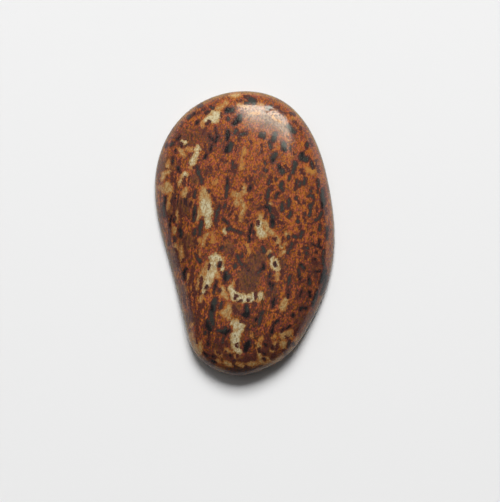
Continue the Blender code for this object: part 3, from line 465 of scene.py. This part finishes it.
# Strewn tones: how many, how far from the middle, and the least and the most of reach and strength.
UNDER_TONES = 30
UNDER_TONE_REACH = np.array((7.0, 12.0))
UNDER_TONE_SIZES = (0.6, 1.4)
UNDER_TONE_STRENGTHS = (-1.0, 0.5)

# Past the rim the crown's strokes fade, and the strewn ones grow until they are whole at the edge given
# here, in from the outline. No field goes further than the limit.
MARK_FADE = 1.2
UNDER_EDGE = 0.5
FIELD_LIMIT = 0.5

# Small dents in the polish, as (x, y, reach, depth).
DENTS = [
    (1.95, 10.72, 0.22, 0.035),
    (2.25, 10.88, 0.14, 0.03),
    (-1.20, 8.75, 0.10, 0.02),
    (-1.62, 0.15, 0.12, 0.02),
    (3.32, 10.55, 0.10, 0.015),
]

# Colours of the stone, as they are in plain white light. The ground runs through the first list as its
# level rises: (level, red, green, blue).
GROUND = [
    (0.300, 0.030, 0.014, 0.012),
    (0.380, 0.068, 0.023, 0.014),
    (0.440, 0.120, 0.034, 0.017),
    (0.490, 0.215, 0.055, 0.021),
    (0.545, 0.320, 0.086, 0.022),
    (0.620, 0.420, 0.126, 0.026),
    (0.720, 0.460, 0.170, 0.040),
]
# Tints that the ground drifts between.
PURPLISH = (1.04, 0.94, 1.45, 1.0)
YELLOWISH = (0.97, 1.10, 0.65, 1.0)
# Colours laid over it: the zones, the flecks, and the markings with their stains and fringes.
BROWN = (0.105, 0.055, 0.025, 1.0)
RIM_BAND = (0.21, 0.155, 0.035, 1.0)
DARK_BROWN = (0.045, 0.022, 0.016, 1.0)
MAROON_COLOUR = (0.080, 0.024, 0.018, 1.0)
BLACK_COLOUR = (0.012, 0.010, 0.010, 1.0)
GREEN_BLACK = (0.037, 0.036, 0.030, 1.0)
CREAM_COLOUR = (0.53, 0.455, 0.28, 1.0)
CREAM_STAIN = (0.38, 0.26, 0.12, 1.0)
TAN_COLOUR = (0.42, 0.27, 0.110, 1.0)
TAN_STAIN = (0.33, 0.165, 0.055, 1.0)
GOLD_COLOUR = (0.42, 0.185, 0.040, 1.0)
TAN_FRINGE = (0.36, 0.145, 0.040, 1.0)

# The grain leans to the east of north, and its specks are longer along it than across.
GRAIN_LEAN = math.radians(10)
GRAIN_STRETCH = 0.62
STREAK_STRETCH = 0.17

# Every noise runs round this middle.
NOISE_MIDDLE = 0.5
# Noises that sway a value: features to the millimetre, detail, roughness, and how far they sway it. The
# first four sway the ground's level, with the streaks only where the grain is drawn out, and the last
# two make the edges of the markings ragged.
COARSE_GRAIN = (5.0, 1.0, 1.0, 0.34)
FINE_GRAIN = (10.0, 0.0, 0.5, 0.15)
BROAD_PATCHES = (0.9, 2.0, 0.6, 0.20)
LONG_STREAKS = (4.5, 2.0, 0.7, 0.95)
BROAD_RAGS = (2.4, 1.0, 0.6, 0.4)
FINE_RAGS = (6.0, 2.0, 0.8, 0.8)
# The ground's middle level, and how far the tones and the shading, partly painted shade and light, move it.
MIDDLE_LEVEL = 0.5
TONE_PULL = 0.03
SHADING_PULL = 0.05

# Noises that choose between two colours, as features to the millimetre, detail and roughness, each with
# the values between which the choice goes over.
TINT_NOISE = (4.6, 1.0, 1.0)
TINT_CHOICE = (0.40, 0.60)
STAIN_NOISE = (5.0, 1.0, 1.0)
STAIN_CHOICE = (0.44, 0.60)
FLECK_NOISE = (7.0, 1.0, 0.7)
FLECK_CHOICE = (0.60, 0.68)
FLECK_STRENGTH = 0.6
GREEN_NOISE = (1.2, 1.0, 0.5)
GREEN_CHOICE = (0.38, 0.54)
# The shading, partly painted shade and light, also picks the flecks' colour: black where it darkens, the
# greyer green-black where it brightens.
GREEN_FROM_SHADING = 0.25

# Brown lies where the tone is low, raggedly, and an olive band is painted along the rim. Both spare the
# darkest grain. The band's two steps are its way in over the crown and its way out over the underside, past
# the rim.
BROWN_TONES = (0.15, 0.75)
BROWN_RAGGEDNESS = 1.5
BROWN_LEVELS = (0.38, 0.5)
BROWN_STRENGTH = 0.65
RIM_BAND_OVER = (-0.85, -0.25)
RIM_BAND_UNDER = (1.4, 0.2)
RIM_BAND_LEVELS = (0.42, 0.54)
RIM_BAND_STRENGTH = 0.8

# The edge of each marking: how wide its fringe is, how ragged, and how far past the strokes it spreads.
MARK_EDGES = {
    "gold": (0.12, 0.9, 0.0),
    "tan": (0.13, 0.8, 0.05),
    "cream": (0.11, 0.7, 0.08),
    "maroon": (0.09, 0.9, 0.0),
    "black": (0.12, 0.50, 0.04),
}

# The polish drifts between two roughnesses. Flecks and the darkest grain are pitted, and duller.
POLISH_NOISE = (4.0, 2.0, 0.8)
POLISH_CHOICE = (0.3, 0.7)
POLISH_ROUGHNESS = (0.08, 0.22)
PITTED_LEVELS = (0.46, 0.41)
PITTED_ROUGHNESS = 0.22
STONE_IOR = 1.54
STONE_GLOSS = 0.4

# The polished surface ripples slightly, with a finer tooth on the ripple.
RIPPLE_NOISE = (0.9, 2.0, 0.5)
TOOTH_NOISE = (5.0, 2.0, 0.8)
TOOTH_SHARE = 0.12
RIPPLE_HEIGHT = 0.01


def closed_spline(points, steps):
    """Points along the smooth closed curve (a periodic cubic spline) through the given points."""
    knots = np.array(points)
    count = len(knots)
    ahead = np.roll(knots, -1, axis=0) - knots
    span = np.linalg.norm(ahead, axis=1)
    slope = ahead / span[:, None]
    before = np.roll(span, 1)
    system = np.zeros((count, count))
    for i in range(count):
        system[i, i - 1] = before[i]
        system[i, i] = 2 * (before[i] + span[i])
        system[i, (i + 1) % count] += span[i]
    bend = np.linalg.solve(system, 6 * (slope - np.roll(slope, 1, axis=0)))
    starts = np.concatenate([[0], np.cumsum(span)])
    along = np.linspace(0, starts[-1], steps, endpoint=False)
    i = np.searchsorted(starts, along, side="right") - 1
    j = (i + 1) % count
    left = (starts[i + 1] - along) / span[i]
    right = 1 - left
    curved = (left**3 - left)[:, None] * bend[i] + (right**3 - right)[:, None] * bend[j]
    return left[:, None] * knots[i] + right[:, None] * knots[j] + curved * (span[i] ** 2 / 6)[:, None]


def on_pebble(direction):
    """The pebble's surface points for an array of unit directions, and how far each is past the rim.

    That is below 0 on the crown, by the height above the rim, and above 0 on the underside, by the
    way in from the outline.
    """
    curve = closed_spline(OUTLINE, OUTLINE_STEPS) - HEART
    curve_angle = np.arctan2(curve[:, 1], curve[:, 0])
    curve_reach = np.linalg.norm(curve, axis=1)
    order = np.argsort(curve_angle)
    share = np.minimum(np.hypot(direction[:, 0], direction[:, 1]), 1.0)
    angle = np.arctan2(direction[:, 1], direction[:, 0])
    reach = np.interp(angle, curve_angle[order], curve_reach[order], period=2 * math.pi)
    x = HEART[0] + share * reach * np.cos(angle)
    y = HEART[1] + share * reach * np.sin(angle)
    places = [Vector((u, v, 0)) / SWELL_LENGTH + SWELL_OFFSET for u, v in zip(x, y)]
    swell = 1 + SWELL_SHARE * np.array([noise.noise(place) for place in places])
    rise = RIM_RISE_TO_ENDS * (2 * np.abs(np.sin(angle)) ** RIM_RISE_POWER - 1)
    fullness = CROWN_FULLNESS + CROWN_FULLNESS_TO_EAST * np.cos(angle)
    crown = RIM_HEIGHT + rise * share**2 + CROWN_HEIGHT * swell * (1 - share**fullness) ** CROWN_EDGE
    keel = (RIM_HEIGHT + rise) * (1 - np.sqrt(1 - share**KEEL_FULLNESS))
    below = direction[:, 2] < 0
    z = np.where(below, np.maximum(keel, FLAT_WEAR), crown)
    past_rim = np.where(below, reach * (1 - share), RIM_HEIGHT + rise - z)
    return np.column_stack([x, y, z]), past_rim


def seen_by_eye(points):
    """Where the eye sees each point, as (x, y) at the height of the rim. Heights are above the base."""
    eye = AIM + EYE_DISTANCE * TOWARD_EYE
    toward = (eye[2] - RIM_HEIGHT) / (eye[2] - points[:, 2])
    return eye[:2] + (points[:, :2] - eye[:2]) * toward[:, None]


def stroke_field(places, strokes):
    """How deep inside its nearest stroke each place is; negative outside."""
    field = np.full(len(places), -FIELD_LIMIT)
    for stroke in strokes:
        for start, end in zip(stroke, stroke[1:]):
            field = np.maximum(field, link_field(places, np.array(start), np.array(end)))
    return field


def link_field(places, start, end):
    """How deep inside the tapering link between two stroke points each place is."""
    along = end[:2] - start[:2]
    share = np.clip((places - start[:2]) @ along / (along @ along), 0, 1)
    away = np.linalg.norm(places - start[:2] - share[:, None] * along, axis=1)
    return start[2] + share * (end[2] - start[2]) - away


def strewn_strokes(count, length, width, dice):
    """Strokes strewn over the underside, all running roughly along the grain."""
    strokes = []
    for _ in range(count):
        x, y = dice.uniform(-STREWN_REACH, STREWN_REACH)
        lean = dice.normal(*STREWN_LEAN)
        half = length * dice.uniform(*STREWN_LENGTHS) / 2
        wide = width * dice.uniform(*STREWN_WIDTHS)
        east, north = half * math.sin(lean), half * math.cos(lean)
        tip = wide * STREWN_TIP
        strokes.append(((x - east, y - north, tip), (x, y, wide), (x + east, y + north, tip)))
    return strokes


def strewn_tones(dice):
    """Tones strewn over the underside, as (x, y, reach, strength)."""
    tones = []
    for _ in range(UNDER_TONES):
        x, y = dice.uniform(-UNDER_TONE_REACH, UNDER_TONE_REACH)
        reach = dice.uniform(*UNDER_TONE_SIZES)
        tones.append((x, y, reach, dice.uniform(*UNDER_TONE_STRENGTHS)))
    return tones


def tone_field(places, tones):
    """The summed pull of the tones at each place."""
    field = np.zeros(len(places))
    for x, y, reach, strength in tones:
        gap = np.hypot(places[:, 0] - x, places[:, 1] - y) / reach
        field += strength * np.exp(-gap * gap)
    return field


def marking_fields(points, past_rim):
    """Every marking's field over the whole pebble, given how far each point is past the rim."""
    dice = np.random.default_rng(UNDER_SEED)
    seen = seen_by_eye(points)
    under = points[:, :2]
    beneath = np.maximum(past_rim, 0)
    outside_under = np.maximum(UNDER_EDGE - past_rim, 0)
    crown_marks = {"cream": CREAM, "tan": TAN, "gold": GOLD, "maroon": MAROON, "black": BLACK}
    fields = {}
    for name, strokes in crown_marks.items():
        upper = stroke_field(seen, strokes) - MARK_FADE * beneath
        strewn = strewn_strokes(*UNDER_STROKES[name], dice)
        lower = stroke_field(under, strewn) - MARK_FADE * outside_under
        fields[name] = np.clip(np.maximum(upper, lower), -FIELD_LIMIT, FIELD_LIMIT)
    lower_tone = tone_field(under, strewn_tones(dice))
    lower_share = np.clip(beneath / UNDER_EDGE, 0, 1)
    fields["tone"] = tone_field(seen, TONE) * (1 - lower_share) + lower_tone * lower_share
    # The shading, partly painted shade and light, lies on the crown only.
    fields["own_and_painted_shading"] = tone_field(seen, OWN_AND_PAINTED_SHADING) * (1 - lower_share)
    fields["streaked"] = tone_field(seen, STREAKED)
    fields["past_rim"] = past_rim
    return fields


def dented(points, past_rim):
    """The points with the small dents pressed into the crown."""
    press = tone_field(seen_by_eye(points), DENTS)
    press[past_rim > 0] = 0
    level = np.zeros(len(points))
    return points - np.column_stack([level, level, press])


def box_middle(points):
    """The middle, in plan, of the box round the points."""
    return (points[:, :2].min(axis=0) + points[:, :2].max(axis=0)) / 2


def make_stone(material):
    """The fine pebble, with one attribute for each marking."""
    ball = bmesh.new()
    bmesh.ops.create_cube(ball, size=2.0)
    bmesh.ops.subdivide_edges(ball, edges=ball.edges[:], cuts=CUTS, use_grid_fill=True)
    mesh = bpy.data.meshes.new("polished_stone")
    ball.to_mesh(mesh)
    ball.free()
    cube = np.empty(len(mesh.vertices) * 3)
    mesh.vertices.foreach_get("co", cube)
    even = np.tan(cube.reshape(-1, 3) * math.pi / 4)
    points, past_rim = on_pebble(even / np.linalg.norm(even, axis=1)[:, None])
    fields = marking_fields(points, past_rim)
    points = dented(points, past_rim)
    points -= (*box_middle(points), FLAT_WEAR)
    mesh.vertices.foreach_set("co", (points * MM).ravel())
    for name, field in fields.items():
        mesh.attributes.new(name, "FLOAT", "POINT").data.foreach_set("value", field)
    mesh.update()
    mesh.shade_smooth()
    mesh.materials.append(material)
    stone = bpy.data.objects.new("polished_stone", mesh)
    bpy.context.scene.collection.objects.link(stone)
    return stone


class Shading:
    """A short way to write the nodes of a material or of the surroundings."""

    def __init__(self, owner, shader):
        owner.use_nodes = True
        self.tree = owner.node_tree
        self.shader = self.tree.nodes[shader]

    def put(self, socket, value):
        """A link or a plain value for a socket."""
        if isinstance(value, bpy.types.NodeSocket):
            self.tree.links.new(value, socket)
        else:
            socket.default_value = value

    def give(self, name, value):
        """A link or a plain value for one of the shader's own sockets."""
        self.put(self.shader.inputs[name], value)

    def add(self, kind, inputs, **settings):
        """A node with its inputs, by name or number, and its settings."""
        made = self.tree.nodes.new(kind)
        for name, value in settings.items():
            setattr(made, name, value)
        for key, value in inputs.items():
            self.put(made.inputs[key], value)
        return made

    def attribute(self, name):
        """A number stored on the mesh."""
        return self.add("ShaderNodeAttribute", {}, attribute_name=name).outputs["Fac"]

    def math(self, operation, first, second):
        """One sum on two numbers."""
        return self.add("ShaderNodeMath", {0: first, 1: second}, operation=operation).outputs[0]

    def times(self, first, second):
        """The product of two numbers."""
        return self.math("MULTIPLY", first, second)

    def total(self, *numbers):
        """The sum of two or more numbers."""
        result = numbers[0]
        for number in numbers[1:]:
            result = self.math("ADD", result, number)
        return result

    def stretched(self, place, sizes):
        """A place with its three parts multiplied by the sizes."""
        return self.add("ShaderNodeVectorMath", {0: place, 1: sizes}, operation="MULTIPLY").outputs[0]

    def noise(self, place, scale, detail, roughness):
        """Noise around its middle at a place, in features to the millimetre."""
        inputs = {"Vector": place, "Scale": scale, "Detail": detail, "Roughness": roughness}
        return self.add("ShaderNodeTexNoise", inputs).outputs[0]

    def sway(self, place, scale, detail, roughness, share):
        """A share of a noise, moved so that its middle is 0."""
        noise_here = self.noise(place, scale, detail, roughness)
        return self.times(self.math("SUBTRACT", noise_here, NOISE_MIDDLE), share)

    def step(self, value, none, whole):
        """0 at one value, 1 at the other and smooth between. Either may be the lower one."""
        inputs = {"Value": value, "From Min": none, "From Max": whole}
        return self.add("ShaderNodeMapRange", inputs, interpolation_type="SMOOTHSTEP").outputs[0]

    def mix(self, factor, below, above, blend="MIX"):
        """A colour laid over another."""
        inputs = {0: factor, 6: below, 7: above}
        return self.add("ShaderNodeMix", inputs, data_type="RGBA", blend_type=blend).outputs[2]

    def ramp(self, value, stops):
        """A colour that runs through stops of (value, red, green, blue)."""
        made = self.add("ShaderNodeValToRGB", {"Fac": value})
        elements = made.color_ramp.elements
        for element, stop in zip(list(elements), stops):
            element.position = stop[0]
            element.color = (*stop[1:], 1.0)
        for stop in stops[len(elements) :]:
            elements.new(stop[0]).color = (*stop[1:], 1.0)
        return made.outputs["Color"]

    def mark(self, name, ragged, below, fringe, core):
        """A marking laid over a colour: its core, with a ragged fringe round it."""
        reach, raggedness, spread = MARK_EDGES[name]
        inside = self.total(self.attribute(name), self.times(ragged, raggedness), spread)
        edged = self.mix(self.step(inside, -reach, 0.0), below, fringe)
        return self.mix(self.step(inside, 0.0, reach), edged, core)


def stone_material():
    """Jasper with iron-rich flecks and cream patches under a tumbled polish."""
    material = bpy.data.materials.new("polished_mugglestone")
    s = Shading(material, "Principled BSDF")
    here = s.add("ShaderNodeTexCoord", {}).outputs["Object"]
    place = s.stretched(here, (1 / MM, 1 / MM, 1 / MM))
    leaned = s.add("ShaderNodeVectorRotate", {"Vector": place, "Angle": GRAIN_LEAN}).outputs[0]
    grain = s.stretched(leaned, (1.0, GRAIN_STRETCH, 1.0))
    streaks = s.stretched(leaned, (1.0, STREAK_STRETCH, 1.0))
    ragged = s.total(s.sway(grain, *BROAD_RAGS), s.sway(grain, *FINE_RAGS))
    tone = s.attribute("tone")
    # The shading is partly the stone's own ground and partly painted shade and light.
    own_and_painted_shading = s.attribute("own_and_painted_shading")
    past_rim = s.attribute("past_rim")

    grains = s.total(s.sway(grain, *COARSE_GRAIN), s.sway(grain, *FINE_GRAIN))
    patches = s.sway(grain, *BROAD_PATCHES)
    drawn = s.times(s.sway(streaks, *LONG_STREAKS), s.attribute("streaked"))
    level = s.total(s.total(grains, patches), s.total(drawn, MIDDLE_LEVEL))
    level = s.total(level, s.times(tone, TONE_PULL), s.times(own_and_painted_shading, SHADING_PULL))
    tint = s.mix(s.step(s.noise(grain, *TINT_NOISE), *TINT_CHOICE), PURPLISH, YELLOWISH)
    ground = s.mix(1.0, s.ramp(level, GROUND), tint, "MULTIPLY")

    browned = s.math("SUBTRACT", s.times(tone, -1.0), s.times(ragged, BROWN_RAGGEDNESS))
    brown_share = s.times(s.step(browned, *BROWN_TONES), s.step(level, *BROWN_LEVELS))
    ground = s.mix(s.times(brown_share, BROWN_STRENGTH), ground, BROWN)
    # The olive band painted along the rim, in over the crown and out over the underside.
    near_rim = s.times(s.step(past_rim, *RIM_BAND_OVER), s.step(past_rim, *RIM_BAND_UNDER))
    rim_band_share = s.times(near_rim, s.step(level, *RIM_BAND_LEVELS))
    ground = s.mix(s.times(rim_band_share, RIM_BAND_STRENGTH), ground, RIM_BAND)

    stained = s.step(s.noise(grain, *STAIN_NOISE), *STAIN_CHOICE)
    tan = s.mix(stained, TAN_COLOUR, TAN_STAIN)
    cream = s.mix(stained, CREAM_COLOUR, CREAM_STAIN)
    flecked = s.step(s.noise(grain, *FLECK_NOISE), *FLECK_CHOICE)
    # Flecks turn black under the painted shade and greyer under the painted light.
    greener = s.total(s.noise(grain, *GREEN_NOISE), s.times(own_and_painted_shading, GREEN_FROM_SHADING))
    black = s.mix(s.step(greener, *GREEN_CHOICE), BLACK_COLOUR, GREEN_BLACK)
    colour = s.mark("gold", ragged, ground, TAN_FRINGE, GOLD_COLOUR)
    colour = s.mark("tan", ragged, colour, TAN_FRINGE, tan)
    colour = s.mark("cream", ragged, colour, TAN_COLOUR, cream)
    colour = s.mix(s.times(flecked, FLECK_STRENGTH), colour, DARK_BROWN)
    colour = s.mark("maroon", ragged, colour, MAROON_COLOUR, MAROON_COLOUR)
    colour = s.mark("black", ragged, colour, MAROON_COLOUR, black)
    s.give("Base Color", colour)

    drift = {"Value": s.noise(grain, *POLISH_NOISE)}
    drift["From Min"], drift["From Max"] = POLISH_CHOICE
    drift["To Min"], drift["To Max"] = POLISH_ROUGHNESS
    polish = s.add("ShaderNodeMapRange", drift).outputs[0]
    pitted = s.math("MAXIMUM", flecked, s.step(level, *PITTED_LEVELS))
    s.give("Roughness", s.total(polish, s.times(pitted, PITTED_ROUGHNESS)))
    s.give("IOR", STONE_IOR)
    s.give("Specular IOR Level", STONE_GLOSS)

    ripple = s.total(s.noise(place, *RIPPLE_NOISE), s.times(s.noise(grain, *TOOTH_NOISE), TOOTH_SHARE))
    bump = s.add("ShaderNodeBump", {"Strength": 1.0, "Distance": RIPPLE_HEIGHT * MM, "Height": ripple})
    s.give("Normal", bump.outputs["Normal"])
    return material


def make_floor():
    """The plain pale floor that the stone lies on."""
    mesh = bpy.data.meshes.new("floor")
    half = FLOOR_SIDE * MM / 2
    corners = [(-half, -half, 0), (half, -half, 0), (half, half, 0), (-half, half, 0)]
    mesh.from_pydata(corners, [], [(0, 1, 2, 3)])
    floor = bpy.data.objects.new("floor", mesh)
    bpy.context.scene.collection.objects.link(floor)
    material = bpy.data.materials.new("plain_floor")
    s = Shading(material, "Principled BSDF")
    s.give("Base Color", FLOOR_COLOUR)
    s.give("Roughness", FLOOR_ROUGHNESS)
    s.give("Specular IOR Level", FLOOR_GLOSS)
    mesh.materials.append(material)


def make_surroundings():
    """Plain surroundings that darken away from their bright side."""
    world = bpy.data.worlds.new("surroundings")
    s = Shading(world, "Background")
    place = s.add("ShaderNodeTexCoord", {}).outputs["Generated"]
    sides = {0: place, 1: SURROUNDINGS_BRIGHT_SIDE}
    toward = s.add("ShaderNodeVectorMath", sides, operation="DOT_PRODUCT").outputs["Value"]
    bright = s.step(toward, 0.0, Vector(SURROUNDINGS_BRIGHT_SIDE).length)
    s.give("Color", s.mix(bright, SURROUNDINGS_DIM, SURROUNDINGS_BRIGHT))
    bpy.context.scene.world = world


def make_light(name, azimuth, elevation, roll, width, height, power):
    """A soft rectangular light that faces the stone."""
    turn, lift = math.radians(azimuth), math.radians(elevation)
    toward = Vector((math.cos(lift) * math.cos(turn), math.cos(lift) * math.sin(turn), math.sin(lift)))
    light = bpy.data.lights.new(name, "AREA")
    light.shape = "RECTANGLE"
    light.size = width * MM
    light.size_y = height * MM
    light.energy = power
    lamp = bpy.data.objects.new(name, light)
    lamp.location = toward * LIGHT_DISTANCE * MM
    rolled = Quaternion((0, 0, 1), math.radians(roll))
    lamp.rotation_euler = (toward.to_track_quat("Z", "Y") @ rolled).to_euler()
    bpy.context.scene.collection.objects.link(lamp)
    return lamp


def make_camera(middle):
    """The eye, looking down on the stone."""
    toward = Vector(TOWARD_EYE)
    data = bpy.data.cameras.new("eye")
    data.sensor_width = SENSOR
    data.lens = PIXELS_PER_MM * EYE_DISTANCE / PICTURE_SIDE * SENSOR
    data.clip_start = NEAREST_SEEN * MM
    camera = bpy.data.objects.new("eye", data)
    aim = Vector(AIM) - Vector((*middle, 0))
    camera.location = (aim + toward * EYE_DISTANCE) * MM
    camera.rotation_euler = toward.to_track_quat("Z", "Y").to_euler()
    bpy.context.scene.collection.objects.link(camera)
    bpy.context.scene.camera = camera


bpy.context.scene.view_settings.view_transform = "Standard"
stone = make_stone(stone_material())
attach(stone, "root")
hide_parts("stone")
make_floor()
make_surroundings()
make_light("daylight", *DAYLIGHT).visible_glossy = False
make_light("sidelight", *SIDELIGHT).visible_glossy = False
for name, pane in PANES.items():
    lamp = make_light(name, *pane)
    lamp.data.color = PANE_COLOUR
    lamp.visible_diffuse = False
make_camera(box_middle(closed_spline(OUTLINE, OUTLINE_STEPS)))
